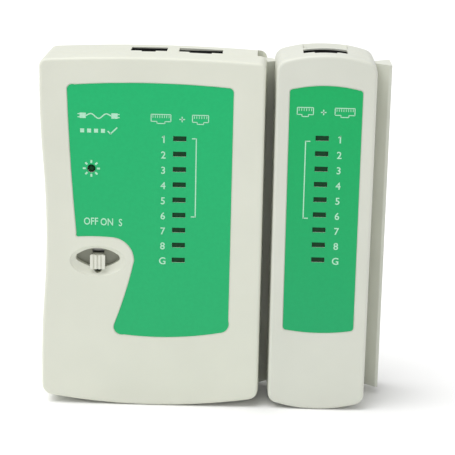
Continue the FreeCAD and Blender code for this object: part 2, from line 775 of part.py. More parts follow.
def build_switch_knob():
    """A ribbed cap over the dish, a neck through the eye, a dust shutter and a stem behind it."""
    body = new_body("switch_knob", MAIN)
    x, z = D.switch_x, D.knob_height
    half, tall = D.knob_wide / 2, D.knob_tall / 2
    cap_back = D.knob_sunk + D.knob_thick
    shutter_front = D.dish_back + 0.1
    shutter_back = shutter_front + 0.6
    cap = front_sketch(body, D.knob_sunk)
    notch = 0.6
    draw_loop(cap, (x - half, z - tall), (x + half, z - tall), (x + half, z + tall),
              (x + notch, z + tall), (x, z + tall - notch), (x - notch, z + tall), (x - half, z + tall))
    grow(body, cap, D.knob_thick)
    outer = half.number - 0.1
    round_edges(body, lambda edge: spans_depth(edge, 0.5) and abs(edge.Vertexes[0].X - x.number) > outer, 0.35)
    for offset in (-1.05, 0.0, 1.05):
        groove = front_sketch(body, D.knob_sunk)
        draw_box(groove, x + offset - 0.2, x + offset + 0.2, z - tall - 1, z + tall + 1)
        cut(body, groove, 0.3)
    neck = front_sketch(body, cap_back - 0.1)
    draw_box(neck, x - 1.4, x + 1.4, z - 0.8, z + 1.9)
    grow(body, neck, shutter_front - cap_back + 0.2)
    # the shutter leaves a dark window above the neck
    shutter = front_sketch(body, shutter_front)
    cover = D.eye_wide / 2 + D.switch_travel + 0.3
    low, high, sill = z - 2.0, D.eye_height + D.eye_up + 0.3, z + 2.0
    draw_loop(shutter, (x - cover, low), (x + cover, low), (x + cover, high), (x + 1.7, high),
              (x + 1.7, sill), (x - 1.7, sill), (x - 1.7, high), (x - cover, high))
    grow(body, shutter, shutter_back - shutter_front)
    stem = front_sketch(body, shutter_back - 0.1)
    draw_box(stem, x - 1.6, x + 1.6, z - 1.3, z + 1.3)
    grow(body, stem, D.main_board_front - 1.2 - shutter_back + 0.1)
    return body


# ---------------------------------------------------------------- sockets

def build_socket(port, name):
    body = new_body(name, port.unit)
    base = port.top - D.socket_long
    left, right = port.x - port.body / 2, port.x + port.body / 2
    grow(body, draw_box(top_sketch(body, base), left, right, port.front, port.back),
         D.socket_long, backwards=False)
    for left, right, front, back in port.mouth():
        cut(body, draw_box(top_sketch(body, port.top), left, right, front, back), D.plug_deep)
    return body


def build_contacts(port, name, count):
    """Sprung wires: each runs up the cavity's back wall, then folds down and out into the cavity."""
    pitch = 1.02
    thick = 0.4
    wires = []
    for number in range(count):
        x = port.x + (number - (count - 1) / 2) * pitch
        rise = block(f"{name}_rise", (x - thick / 2, port.plug_back - thick, port.top - D.plug_deep),
                     (x + thick / 2, port.plug_back, port.top - 2.2))
        spring = DOC.addObject("Part::Box", f"{name}_spring")
        spring.Length = thick
        spring.Width = thick
        spring.Height = 7.0
        lean = FreeCAD.Rotation(FreeCAD.Vector(1, 0, 0), 180 - 14)
        spring.Placement = FreeCAD.Placement(FreeCAD.Vector(), lean)
        bind(spring, "Placement.Base.x", x - thick / 2)
        bind(spring, "Placement.Base.y", port.plug_back - 0.02)
        bind(spring, "Placement.Base.z", port.top - 2.3)
        wires.append(fused(f"{name}_wire", rise, spring))
    return group(name, port.unit, wires)


# ---------------------------------------------------------------- battery and wiring

def build_battery():
    right = D.battery_left + D.battery_long
    back = D.battery_front + D.battery_thick
    high = D.battery_low + D.battery_tall
    body = new_body("battery", MAIN)
    face = front_sketch(body, D.battery_front)
    draw_box(face, D.battery_left, right, D.battery_low, high)
    grow(body, face, D.battery_thick)
    round_edges(body, lambda edge: abs(edge.Vertexes[0].X - edge.Vertexes[-1].X) > 10, 1.6)
    middle_y = (D.battery_front + back) / 2
    middle_z = (D.battery_low + high) / 2
    upper, lower = middle_z + D.stud_gap / 2, middle_z - D.stud_gap / 2
    tip = D.battery_left - 2.4
    small = rod("stud_small", (tip, middle_y, upper), 2.9, 2.4, "x")
    collar = rod("stud_collar", (D.battery_left - 1.2, middle_y, lower), 3.3, 1.2, "x")
    wide = rod("stud_wide", (tip, middle_y, lower), 4.0, 1.2, "x")
    group("battery_studs", MAIN, [small, fused("stud_wide_whole", collar, wide)])
    # the snap cap sits over both studs and carries the two leads
    cap_left = D.battery_left - 4.6
    plate = block("cap_plate", (cap_left, middle_y - 5.2, middle_z - 11.8),
                  (tip - 0.05, middle_y + 5.2, middle_z + 11.8))
    node(plate_with_snaps(plate, tip, middle_y, upper, lower), "battery_snap_cap", MAIN)
    build_lead("red_lead", cap_left.number, 1.0, 27.0, 37.0)
    build_lead("black_lead", cap_left.number, 2.35, 24.0, 40.0)


def plate_with_snaps(plate, tip, y, upper, lower):
    """The cap's plate with a sleeve that grips the small stud and a pin that enters the wide one."""
    sleeve = rod("snap_sleeve", (tip - 0.1, y, upper), 4.2, 2.0, "x")
    bore = rod("snap_bore", (tip - 0.02, y, upper), 2.95, 3.0, "x")
    return less("battery_snap_cap", fused("cap_whole", plate, sleeve), bore)


def build_lead(name, cap_face, out, z_start, z_end):
    """A wire from the snap cap's face, up past the battery and across the back of the board."""
    radius = 0.65
    bend = 1.0
    y = (D.main_board_front + D.main_board_thick).number + radius + 0.02
    x = cap_face - out
    end_x = D.main_board_left.number + 3.0
    root = bend * (1 - 0.5 ** 0.5)

    def at(px, pz):
        return FreeCAD.Vector(px, y, pz)

    path = [Part.Arc(at(x + bend, z_start), at(x + root, z_start + root), at(x, z_start + bend)),
            Part.LineSegment(at(x, z_start + bend), at(x, z_end - bend)),
            Part.Arc(at(x, z_end - bend), at(x + root, z_end - root), at(x + bend, z_end)),
            Part.LineSegment(at(x + bend, z_end), at(end_x, z_end))]
    if out > bend:
        path.insert(0, Part.LineSegment(at(cap_face, z_start), at(x + bend, z_start)))
    wire = Part.Wire([piece.toShape() for piece in path])
    ring = Part.makeCircle(radius, at(cap_face, z_start), FreeCAD.Vector(1, 0, 0))
    lead = DOC.addObject("Part::Feature", name)
    lead.Shape = wire.makePipeShell([Part.Wire([ring])], True, True)
    return node(lead, name, MAIN)


# ---------------------------------------------------------------- parts on the main board

def build_chip(name, x, z, pins):
    """A dual in-line chip lying on the back of the board, its pins in two columns."""
    rows = pins // 2
    pitch = 2.54
    long = rows * pitch
    back = D.main_board_front + D.main_board_thick
    body = block(f"{name}_body", (x - 3.2, back + 0.5, z - long / 2), (x + 3.2, back + 3.8, z + long / 2))
    pieces = [body]
    for side in (-1, 1):
        for row in range(rows):
            pin_z = z + (row - (rows - 1) / 2) * pitch
            inner = x + side * 3.2
            outer = x + side * 3.9
            low, high = (inner, outer) if side > 0 else (outer, inner)
            pieces.append(block(f"{name}_pin", (low, back, pin_z - 0.3), (high, back + 2.0, pin_z + 0.3)))
    return group(name, MAIN, pieces)


def build_axial(name, unit, places, back, radius, long):
    """Small round parts with a wire at each end, lying side by side on a board."""
    pieces = []
    for x, z in places:
        y = back + radius + 0.2
        case = rod(f"{name}_case", (dim(x) - long / 2, y, z), radius, long, "x")
        wire = rod(f"{name}_wire", (dim(x) - long / 2 - 1.6, y, z), 0.3, long + 3.2, "x")
        pieces.append(fused(f"{name}_whole", case, wire))
    return group(name, unit, pieces)


def build_capacitors():
    back = D.main_board_front + D.main_board_thick
    cans = [rod("capacitor_can", (x, back + 0.1, z), 2.5, 9.0, "y") for x, z in ((14.0, 76.0), (14.0, 68.5))]
    return group("capacitors", MAIN, cans)


# ---------------------------------------------------------------- screws

def build_screws(name, unit, places, head_front, head_radius, head_tall, shank, length):
    """Pan-head screws driven forwards, each with a cross recess in its head."""
    screws = []
    for x, z in places:
        head = rod(f"{name}_head", (x, head_front, z), head_radius, head_tall, "y")
        stem = rod(f"{name}_stem", (x, dim(head_front) - length, z), shank, length, "y")
        whole = fused(f"{name}_whole", head, stem)
        arm = head_radius * 0.6
        top = dim(head_front) + head_tall - 0.9
        bar = block(f"{name}_bar", (dim(x) - arm, top, dim(z) - 0.3), (dim(x) + arm, top + 2, dim(z) + 0.3))
        post = block(f"{name}_post", (dim(x) - 0.3, top, dim(z) - arm), (dim(x) + 0.3, top + 2, dim(z) + arm))
        screws.append(less(f"{name}_screw", whole, fused(f"{name}_cross", bar, post)))
    return group(name, unit, screws)


# ---------------------------------------------------------------- assembly

build_main_front()
build_main_rear()
build_battery_cover()
main_label = build_label("main_label", MAIN, main_label_outline, D.main_lamp_x, D.main_lamp_top)
cut(main_label, draw_circle(front_sketch(main_label, 0), D.power_x, D.power_height, D.power_hole / 2), 1)
build_main_board()
build_lamps("main_lamps", MAIN, D.main_lamp_x, D.main_lamp_top, D.main_board_front)
build_power_lamp()
build_switch_frame()
build_switch_knob()
build_socket(MAIN_PORTS[0], "main_wide_socket")
build_contacts(MAIN_PORTS[0], "main_wide_contacts", 8)
build_socket(MAIN_PORTS[1], "main_narrow_socket")
build_contacts(MAIN_PORTS[1], "main_narrow_contacts", 6)
build_battery()
build_chip("timer_chip", dim(24.0), dim(58.0), 8)
build_chip("counter_chip", dim(39.0), dim(56.0), 16)
main_back = D.main_board_front + D.main_board_thick
build_axial("main_resistors", MAIN, [(26.0, 40.0 + 3.0 * step) for step in range(4)], main_back, 1.0, 6.0)
build_axial("main_diodes", MAIN, [(39.0, 70.0 + 2.6 * step) for step in range(4)], main_back, 0.9, 4.0)
build_capacitors()
build_screws("main_case_screws", MAIN, MAIN_SCREWS, D.head_seat, D.head_radius, D.head_tall,
             D.screw_radius, D.screw_long)
build_screws("main_board_screws", MAIN, BOARD_SCREWS["main"], main_back, 2.0, 1.4, 1.0, 6.5)

build_remote_front()
build_remote_rear()
build_label("remote_label", REMOTE, remote_label_outline, D.remote_lamp_x, D.remote_lamp_top)
build_remote_board()
build_lamps("remote_lamps", REMOTE, D.remote_lamp_x, D.remote_lamp_top, D.remote_board_front)
build_socket(REMOTE_PORTS[0], "remote_wide_socket")
build_contacts(REMOTE_PORTS[0], "remote_wide_contacts", 8)
build_socket(REMOTE_PORTS[1], "remote_narrow_socket")
build_contacts(REMOTE_PORTS[1], "remote_narrow_contacts", 6)
remote_back = D.remote_board_front + D.remote_board_thick
build_axial("remote_diodes", REMOTE, [(14.0, 48.0 + 3.6 * step) for step in range(8)], remote_back, 0.9, 4.0)
build_screws("remote_case_screws", REMOTE, REMOTE_SCREWS, D.head_seat, D.head_radius, D.head_tall,
             D.screw_radius, D.screw_long)
DOC.recompute()


# ---------------------------------------------------------------- checks and export

for item in DOC.Objects:
    if "Invalid" in item.State or "Error" in item.State:
        raise RuntimeError(f"{item.Name} failed: {item.State}")
os.makedirs("parts", exist_ok=True)
for item in NODES:
    shape = item.Shape
    if shape.isNull() or not shape.isValid() or not shape.Solids:
        raise RuntimeError(f"{item.Label} has no valid solid")
    shape.exportStep(f"parts/{item.Label}.step")
    box = shape.optimalBoundingBox(False, False)
    print(f"{item.Label:24s} solids {len(shape.Solids):2d}  volume {shape.Volume:9.1f}  "
          f"X {box.XMin:7.2f} {box.XMax:7.2f}  Y {box.YMin:7.2f} {box.YMax:7.2f}  "
          f"Z {box.ZMin:7.2f} {box.ZMax:7.2f}")
print(len(NODES), "sub-parts")
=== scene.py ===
import math

import bmesh
import bpy
from mathutils import Matrix, Vector


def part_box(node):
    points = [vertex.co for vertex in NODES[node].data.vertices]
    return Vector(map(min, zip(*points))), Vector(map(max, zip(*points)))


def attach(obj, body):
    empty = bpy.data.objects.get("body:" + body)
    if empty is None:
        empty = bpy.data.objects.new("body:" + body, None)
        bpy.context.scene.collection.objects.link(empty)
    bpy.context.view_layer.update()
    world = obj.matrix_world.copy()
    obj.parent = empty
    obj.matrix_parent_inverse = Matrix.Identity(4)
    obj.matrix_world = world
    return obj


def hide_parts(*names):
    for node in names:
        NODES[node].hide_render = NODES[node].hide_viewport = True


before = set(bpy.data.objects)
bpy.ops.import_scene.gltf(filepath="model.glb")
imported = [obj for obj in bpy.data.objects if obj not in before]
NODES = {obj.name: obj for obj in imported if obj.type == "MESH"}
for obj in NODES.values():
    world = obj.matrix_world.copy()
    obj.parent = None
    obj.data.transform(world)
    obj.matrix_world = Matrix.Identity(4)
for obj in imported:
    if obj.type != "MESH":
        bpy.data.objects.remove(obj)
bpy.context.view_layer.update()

MM = 0.001
scene = bpy.context.scene


# ---------------------------------------------------------------- places taken from the frame

def low(name):
    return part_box(name)[0]


def high(name):
    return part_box(name)[1]


def middle(name):
    return (low(name) + high(name)) / 2


# the flat front of both cases, and the film's face a little behind it
CASE_Y = low("main_label").y
FILM_SUNK = 0.15 * MM
FACE_Y = CASE_Y + FILM_SUNK

# printing: the lamps' marks, the line, and the built-in letters' weight and share of capital height
LAMP_MARKS = "12345678G"
LAST_BRACKETED = 5
LINE = 0.30 * MM
PRINT_THICK = 0.04 * MM
LETTER_WEIGHT = 0.035 * MM
CAPITAL_SHARE = 0.729
WIDE_JACK, WIDE_WAYS = 5.4 * MM, 8
NARROW_JACK, NARROW_WAYS = 4.4 * MM, 6

# pale moulded plastics
MAIN_PLASTIC = (0.694, 0.707, 0.613)
REMOTE_PLASTIC = (0.658, 0.671, 0.595)
KNOB_PLASTIC = (0.716, 0.725, 0.635)


def lamp_heights(name):
    """Centre heights of a column of lamps, from the top lamp down. The lamp bases set the ends."""
    base_half = 1.05 * MM
    top = high(name).z - base_half
    pitch = (top - (low(name).z + base_half)) / (len(LAMP_MARKS) - 1)
    return [top - pitch * number for number in range(len(LAMP_MARKS))]


# ---------------------------------------------------------------- camera and light

def look_matrix(place, yaw, pitch, roll):
    """Camera turned from the +Y direction: yaw to the left, pitch up, then roll about the view."""
    right = Vector((math.cos(yaw), math.sin(yaw), 0))
    ahead = Vector((-math.sin(yaw), math.cos(yaw), 0))
    ahead = ahead * math.cos(pitch) + Vector((0, 0, 1)) * math.sin(pitch)
    up = right.cross(ahead)
    across = right * math.cos(roll) + up * math.sin(roll)
    upright = up * math.cos(roll) - right * math.sin(roll)
    turn = Matrix((across, upright, -ahead)).transposed()
    return Matrix.Translation(place) @ turn.to_4x4()


def make_camera():
    data = bpy.data.cameras.new("camera")
    data.lens = 124.7
    data.sensor_width = 36
    data.shift_x = -0.0135
    data.clip_start = 0.01
    camera = bpy.data.objects.new("camera", data)
    scene.collection.objects.link(camera)
    place = Vector((10.74, -436.06, 164.96)) * MM
    camera.matrix_world = look_matrix(place, yaw=0.0127, pitch=-0.2581, roll=0.0220)
    scene.camera = camera


def make_light():
    """An even white studio with one broad soft light, high up and to the front left."""
    world = bpy.data.worlds.new("studio")
    world.use_nodes = True
    background = world.node_tree.nodes["Background"]
    background.inputs["Color"].default_value = (1, 1, 1, 1)
    background.inputs["Strength"].default_value = 0.61
    scene.world = world
    data = bpy.data.lights.new("high_light", "SUN")
    data.energy = 2.3
    data.angle = math.radians(50)
    lamp = bpy.data.objects.new("high_light", data)
    scene.collection.objects.link(lamp)
    towards = Vector((-0.36, -0.13, 0.92))
    lamp.rotation_euler = towards.to_track_quat("Z", "Y").to_euler()
    scene.view_settings.view_transform = "Standard"


def make_floor():
    """A flat square sheet that the object stands on, three metres to each side."""
    reach = 3.0
    corners = [(-reach, -reach, 0), (reach, -reach, 0), (reach, reach, 0), (-reach, reach, 0)]
    mesh = bmesh.new()
    mesh.faces.new([mesh.verts.new(corner) for corner in corners])
    piece_from("floor", mesh, floor_white())


# ---------------------------------------------------------------- material helpers

class Paint:
    """A material with a Principled shader, and short calls for the nodes that feed it."""

    def __init__(self, name, color, roughness, metallic=0.0):
        self.material = bpy.data.materials.new(name)
        self.material.use_nodes = True
        self.tree = self.material.node_tree
        self.shader = self.tree.nodes["Principled BSDF"]
        self.put("Base Color", (*color, 1))
        self.put("Roughness", roughness)
        self.put("Metallic", metallic)
        self.place = self.add("ShaderNodeTexCoord").outputs["Object"]

    def add(self, kind, **values):
        node = self.tree.nodes.new(kind)
        for key, value in values.items():
            setattr(node, key, value)
        return node

    def put(self, socket, value):
        self.shader.inputs[socket].default_value = value

    def join(self, output, socket):
        self.tree.links.new(output, socket)

    def noise(self, size, detail=2.0, stretch=(1, 1, 1)):
        """Noise from 0 to 1 whose features are about size metres across."""
        texture = self.add("ShaderNodeTexNoise")
        texture.inputs["Scale"].default_value = 1.0 / size
        texture.inputs["Detail"].default_value = detail
        source = self.place
        if stretch != (1, 1, 1):
            mapping = self.add("ShaderNodeMapping")
            mapping.inputs["Scale"].default_value = stretch
            self.join(source, mapping.inputs["Vector"])
            source = mapping.outputs["Vector"]
        self.join(source, texture.inputs["Vector"])
        return texture.outputs["Fac"]

    def ramp(self, source, *stops):
        """Colours along a value, each stop a position and a colour."""
        node = self.add("ShaderNodeValToRGB")
        first, last = node.color_ramp.elements
        first.position, first.color = stops[0][0], (*stops[0][1], 1)
        last.position, last.color = stops[-1][0], (*stops[-1][1], 1)
        for position, color in stops[1:-1]:
            node.color_ramp.elements.new(position).color = (*color, 1)
        self.join(source, node.inputs["Fac"])
        return node.outputs["Color"]

    def between(self, source, start, stop, low_value=0.0, high_value=1.0):
        """Maps a value from one range to another."""
        node = self.add("ShaderNodeMapRange")
        for socket, value in zip(("From Min", "From Max", "To Min", "To Max"),
                                 (start, stop, low_value, high_value)):
            node.inputs[socket].default_value = value
        self.join(source, node.inputs["Value"])
        return node.outputs["Result"]

    def along(self, axis):
        """The object's own coordinate along one axis, in metres."""
        split = self.add("ShaderNodeSeparateXYZ")
        self.join(self.place, split.inputs["Vector"])
        return split.outputs[axis]

    def tint(self, source, low_color, high_color, start=0.3, stop=0.7):
        """Lets the base colour drift between two colours."""
        self.join(self.ramp(source, (start, low_color), (stop, high_color)),
                  self.shader.inputs["Base Color"])

    def shine(self, source, low_value, high_value):
        """Lets the roughness drift between two values."""
        self.join(self.between(source, 0.3, 0.7, low_value, high_value),
                  self.shader.inputs["Roughness"])

    def bump(self, source, depth, strength=1.0, normal=None):
        """Relief from a value, depth metres high."""
        node = self.add("ShaderNodeBump")
        node.inputs["Distance"].default_value = depth
        node.inputs["Strength"].default_value = strength
        self.join(source, node.inputs["Height"])
        if normal is not None:
            self.join(normal, node.inputs["Normal"])
        self.join(node.outputs["Normal"], self.shader.inputs["Normal"])
        return node.outputs["Normal"]

    def soft_edges(self, radius):
        """A normal that rounds sharp moulded edges a little."""
        node = self.add("ShaderNodeBevel", samples=4)
        node.inputs["Radius"].default_value = radius
        return node.outputs["Normal"]


def shade(color, factor):
    """A colour made lighter or darker."""
    return tuple(channel * factor for channel in color)


# ---------------------------------------------------------------- materials

def floor_white():
    paint = Paint("floor_white", (0.98, 0.98, 0.98), 0.6)
    paint.tint(paint.noise(80 * MM), (0.978, 0.978, 0.978), (0.982, 0.982, 0.982))
    return paint.material


def moulded(name, color, roughness, grain, edge=0.0):
    """Moulded plastic: a fine spark texture, a faint drift of colour and a soft sheen."""
    paint = Paint(name, color, roughness)
    paint.tint(paint.noise(18 * MM, 3), shade(color, 0.975), shade(color, 1.02))
    paint.shine(paint.noise(5 * MM), roughness - 0.04, roughness + 0.05)
    paint.bump(paint.noise(0.22 * MM, 4), grain, 0.35, paint.soft_edges(edge) if edge else None)
    paint.put("Specular IOR Level", 0.4)
    return paint


def shell_plastic(name, color):
    """The cases' plastic: moulded, and very slightly translucent."""
    paint = moulded(name, color, 0.42, 0.03 * MM, 0.15 * MM)
    paint.put("Subsurface Weight", 0.06)
    paint.put("Subsurface Radius", (1.2 * MM, 1.1 * MM, 0.8 * MM))
    return paint.material


def printed_film(name, bottom, top):
    """Printed film: a colour that drifts up the label, ink mottle, and a satin clear top."""
    paint = Paint(name, top, 0.38)
    drift = paint.between(paint.along("Z"), low("main_label").z, high("main_label").z)
    ink = paint.ramp(drift, (0.0, bottom), (1.0, top))
    mottle = paint.ramp(paint.noise(0.9 * MM, 4), (0.35, (0.955, 0.955, 0.955)), (0.65, (1, 1, 1)))
    mix = paint.add("ShaderNodeMix", data_type="RGBA", blend_type="MULTIPLY")
    # the Mix node's own places for its factor, two colours and mixed colour
    factor, first, second, mixed = 0, 6, 7, 2
    mix.inputs[factor].default_value = 1.0
    paint.join(ink, mix.inputs[first])
    paint.join(mottle, mix.inputs[second])
    paint.join(mix.outputs[mixed], paint.shader.inputs["Base Color"])
    paint.shine(paint.noise(2.5 * MM), 0.34, 0.42)
    paint.bump(paint.noise(0.35 * MM, 3), 0.01 * MM, 0.3)
    paint.put("Specular IOR Level", 0.3)
    return paint.material


def print_ink():
    """Pale screen-printed ink, a little uneven, that lets some green through."""
    paint = Paint("print_ink", (0.42, 0.76, 0.55), 0.5)
    paint.tint(paint.noise(0.25 * MM, 3), (0.36, 0.71, 0.49), (0.48, 0.80, 0.60))
    paint.bump(paint.noise(0.15 * MM), 0.01 * MM, 0.3)
    return paint.material


def lamp_lens():
    """Tinted resin over a dark chip: nearly black, with patches of green."""
    green, dark = (0.003, 0.058, 0.019), (0.008, 0.036, 0.012)
    paint = Paint("lamp_lens", dark, 0.35)
    paint.tint(paint.noise(1.4 * MM, 2), green, dark)
    paint.put("Specular IOR Level", 0.12)
    paint.bump(paint.noise(0.5 * MM), 0.02 * MM, 0.25)
    return paint.material


def knob_plastic():
    """The knob's pale plastic, with painted shade: the shutter behind it is coloured dark grey for
    the shadow of the opening it lies in.
    """
    paint = moulded("knob_plastic", KNOB_PLASTIC, 0.4, 0.02 * MM, 0.1 * MM)
    # painted shade: from the shutter's front backwards the colour turns dark grey, standing in for
    # the opening's shadow
    shutter_front = low("switch_knob").y + 2.9 * MM
    depth = paint.between(paint.along("Y"), shutter_front - 0.15 * MM, shutter_front)
    paint.join(paint.ramp(depth, (0.0, KNOB_PLASTIC), (1.0, (0.30, 0.305, 0.25))),
               paint.shader.inputs["Base Color"])
    return paint.material


def socket_black():
    return moulded("socket_black", (0.012, 0.012, 0.012), 0.45, 0.03 * MM, 0.08 * MM).material


def metal(name, color, roughness, stretch):
    """Drawn or brushed metal with fine lines along one axis."""
    paint = Paint(name, color, roughness, 1.0)
    lines = paint.noise(0.4 * MM, 4, stretch)
    paint.shine(lines, roughness - 0.08, roughness + 0.12)
    paint.bump(lines, 0.01 * MM, 0.3)
    paint.tint(paint.noise(3 * MM), shade(color, 0.9), color)
    return paint.material


def board_green():
    """Solder mask with copper tracks showing through as slightly raised lighter bands."""
    paint = Paint("board_green", (0.015, 0.16, 0.06), 0.3)
    tracks = paint.add("ShaderNodeTexVoronoi", feature="DISTANCE_TO_EDGE", distance="CHEBYCHEV")
    tracks.inputs["Scale"].default_value = 1.0 / (3.2 * MM)
    paint.join(paint.place, tracks.inputs["Vector"])
    edge = paint.between(tracks.outputs["Distance"], 0.05, 0.12)
    paint.tint(edge, (0.03, 0.26, 0.10), (0.012, 0.15, 0.055), 0.0, 1.0)
    paint.bump(edge, -0.03 * MM, 0.5)
    paint.put("Coat Weight", 0.4)
    return paint.material


def battery_sleeve():
    """The battery's printed sleeve: a blue body, two thin rules, a grey band and no words."""
    blue, grey, rule = (0.03, 0.07, 0.24), (0.34, 0.35, 0.37), (0.62, 0.63, 0.64)
    paint = Paint("battery_sleeve", blue, 0.36)
    share = paint.between(paint.along("X"), low("battery").x, high("battery").x)
    node = paint.ramp(share, (0.0, blue), (0.080, blue), (0.082, rule), (0.090, rule),
                      (0.092, blue), (0.640, blue), (0.642, rule), (0.655, rule), (0.657, grey),
                      (1.0, grey))
    paint.join(node, paint.shader.inputs["Base Color"])
    paint.shine(paint.noise(9 * MM), 0.34, 0.40)
    paint.bump(paint.noise(0.3 * MM, 2), 0.004 * MM, 0.3)
    return paint.material


def insulation(name, color):
    """A smooth coloured sleeve or lead, a little uneven."""
    paint = Paint(name, color, 0.35)
    paint.tint(paint.noise(1.5 * MM), shade(color, 0.85), color)
    paint.bump(paint.noise(0.4 * MM), 0.02 * MM, 0.3)
    paint.put("Coat Weight", 0.2)
    return paint.material


def banded(name, node, long, body, bands):
    """Lacquer for small axial parts along X: bands of colour, placed by their share of the length."""
    paint = Paint(name, body, 0.35)
    centre = middle(node).x
    share = paint.between(paint.along("X"), centre - long / 2, centre + long / 2)
    band_half, edge_half = 0.03, 0.035
    stops = [(0.0, body)]
    for position, color in bands:
        stops += [(position - edge_half, body), (position - band_half, color),
                  (position + band_half, color), (position + edge_half, body)]
    stops.append((1.0, body))
    paint.join(paint.ramp(share, *stops), paint.shader.inputs["Base Color"])
    paint.shine(paint.noise(1.0 * MM), 0.3, 0.42)
    paint.put("Coat Weight", 0.4)
    return paint.material


# ---------------------------------------------------------------- mesh helpers

def piece_from(name, mesh, material):
    """An object made from a bmesh, with one material."""
    data = bpy.data.meshes.new(name)
    mesh.normal_update()
    mesh.to_mesh(data)
    mesh.free()
    data.materials.append(material)
    item = bpy.data.objects.new(name, data)
    scene.collection.objects.link(item)
    return item


def inset(loop, distance):
    """A closed counter-clockwise outline moved inwards by a distance, with mitred corners."""
    points = [Vector(point) for point in loop]
    normals = []
    for start, stop in zip(points, points[1:] + points[:1]):
        way = (stop - start).normalized()
        normals.append(Vector((-way.y, way.x)))
    moved = []
    for point, before, after in zip(points, normals[-1:] + normals[:-1], normals):
        moved.append(point + (before + after) * distance / (1 + before.dot(after)))
    return moved


def band(mesh, near, far, smooth=False):
    """Faces between two matching rows of corners, each row a closed loop."""
    for index in range(len(near)):
        after = (index + 1) % len(near)
        mesh.faces.new((near[index], near[after], far[after], far[index])).smooth = smooth


def ring(rows):
    """A mesh swept through matching rows of places, with the last row joined to the first."""
    mesh = bmesh.new()
    corners = [[mesh.verts.new(place) for place in row] for row in rows]
    for near, far in zip(corners, corners[1:] + corners[:1]):
        band(mesh, near, far)
    bmesh.ops.recalc_face_normals(mesh, faces=mesh.faces)
    return mesh


def finish_of(node):
    """The material that a CAD node wears."""
    return NODES[node].data.materials[0]


class Print:
    """Flat marks on a label's face, gathered into one mesh. Places are X and Z in metres."""

    def __init__(self):
        self.mesh = bmesh.new()

    def shape(self, points):
        """A closed flat outline, given a small thickness in front of the face."""
        front = [self.mesh.verts.new((x, FACE_Y - PRINT_THICK, z)) for x, z in points]
        back = [self.mesh.verts.new((x, FACE_Y, z)) for x, z in points]
        self.mesh.faces.new(front)
        self.mesh.faces.new(back)
        band(self.mesh, front, back)

    def bar(self, x, z, wide, tall, turn=0.0):
        """A rectangle about its centre."""
        across = Vector((math.cos(turn), math.sin(turn))) * wide / 2
        upward = Vector((-math.sin(turn), math.cos(turn))) * tall / 2
        centre = Vector((x, z))
        self.shape([centre - across - upward, centre + across - upward, centre + across + upward,
                    centre - across + upward])

    def stroke(self, points, width):
        """A line of even width through several points."""
        points = [Vector(point) for point in points]
        left, right = [], []
        for index, point in enumerate(points):
            before = points[max(index - 1, 0)]
            after = points[min(index + 1, len(points) - 1)]
            way = (after - before).normalized()
            side = Vector((-way.y, way.x)) * width / 2
            left.append(point + side)
            right.append(point - side)
        self.shape(left + right[::-1])

    def text(self, letters, x, z, tall, squeeze=1.0):
        """Plain sans letters centred on a place, tall being the height of a capital."""
        curve = bpy.data.curves.new("letters", "FONT")
        curve.body = letters
        curve.align_x = "CENTER"
        curve.resolution_u = 3
        curve.size = tall / CAPITAL_SHARE
        curve.offset = LETTER_WEIGHT
        curve.extrude = PRINT_THICK / 2
        holder = bpy.data.objects.new("letters", curve)
        scene.collection.objects.link(holder)
        bpy.context.view_layer.update()
        letter_mesh = bpy.data.meshes.new_from_object(holder.evaluated_get(
            bpy.context.evaluated_depsgraph_get()))
        stand = Matrix(((squeeze, 0, 0, x), (0, 0, -1, FACE_Y - PRINT_THICK / 2),
                        (0, 1, 0, z - tall / 2), (0, 0, 0, 1)))
        letter_mesh.transform(stand)
        self.mesh.from_mesh(letter_mesh)
        bpy.data.objects.remove(holder)
        bpy.data.curves.remove(curve)
        bpy.data.meshes.remove(letter_mesh)

    def finish(self, name, ink, body):
        bmesh.ops.recalc_face_normals(self.mesh, faces=self.mesh.faces)
        item = piece_from(name, self.mesh, ink)
        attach(item, body)


# ---------------------------------------------------------------- printed marks


def print_numbers(marks, lamps, x):
    """A mark beside each lamp of a column, a little below its centre."""
    tall, drop = 2.05 * MM, 0.25 * MM
    for mark, z in zip(LAMP_MARKS, lamp_heights(lamps)):
        if mark == "1":
            print_one(marks, x, z - drop, tall)
        else:
            marks.text(mark, x, z - drop, tall)


def print_one(marks, x, z, tall):
    """The digit one, with the flag that the built-in letters leave out."""
    width, flag_wide, flag_tall, flag_drop = 0.36 * MM, 0.55 * MM, 0.5 * MM, 0.12 * MM
    stem, top = x + 0.12 * MM, z + tall / 2
    marks.bar(stem, z, width, tall)
    marks.stroke([(stem - flag_wide, top - flag_tall), (stem, top - flag_drop)], width * 0.8)


def print_word(marks, letters, x, z):
    """A word beside the switch, in narrow capitals."""
    marks.text(letters, x, z, tall=2.1 * MM, squeeze=0.8)


def print_bracket(marks, x, tick, top, bottom):
    """A bracket down the first six lamps, with short ticks towards the column."""
    marks.stroke([(x + tick, top), (x, top)], LINE)
    marks.stroke([(x, top + LINE / 2), (x, bottom - LINE / 2)], LINE)
    marks.stroke([(x + tick, bottom), (x, bottom)], LINE)


def print_jack(marks, x, z, wide, ways):
    """A small picture of a modular jack: its frame, latch step and contacts."""
    tall, step = 2.5 * MM, 0.55 * MM
    latch = wide * 0.2
    left, right = x - wide / 2, x + wide / 2
    foot, head = z - tall / 2, z + tall / 2
    outline = [(left, head), (right, head), (right, foot + step), (x + latch, foot + step),
               (x + latch, foot), (x - latch, foot), (x - latch, foot + step), (left, foot + step)]
    for start, stop in zip(outline, outline[1:] + outline[:1]):
        marks.stroke([start, stop], LINE * 0.8)
    margin, contact_drop, contact_wide, contact_tall = 0.5 * MM, 0.6 * MM, 0.18 * MM, 0.75 * MM
    pitch = (wide - 2 * margin) / (ways - 1)
    for number in range(ways):
        marks.bar(left + margin + pitch * number, head - contact_drop, contact_wide, contact_tall)


def print_plus(marks, x, z):
    long = 1.5 * MM
    marks.bar(x, z, long, LINE)
    marks.bar(x, z, LINE, long)


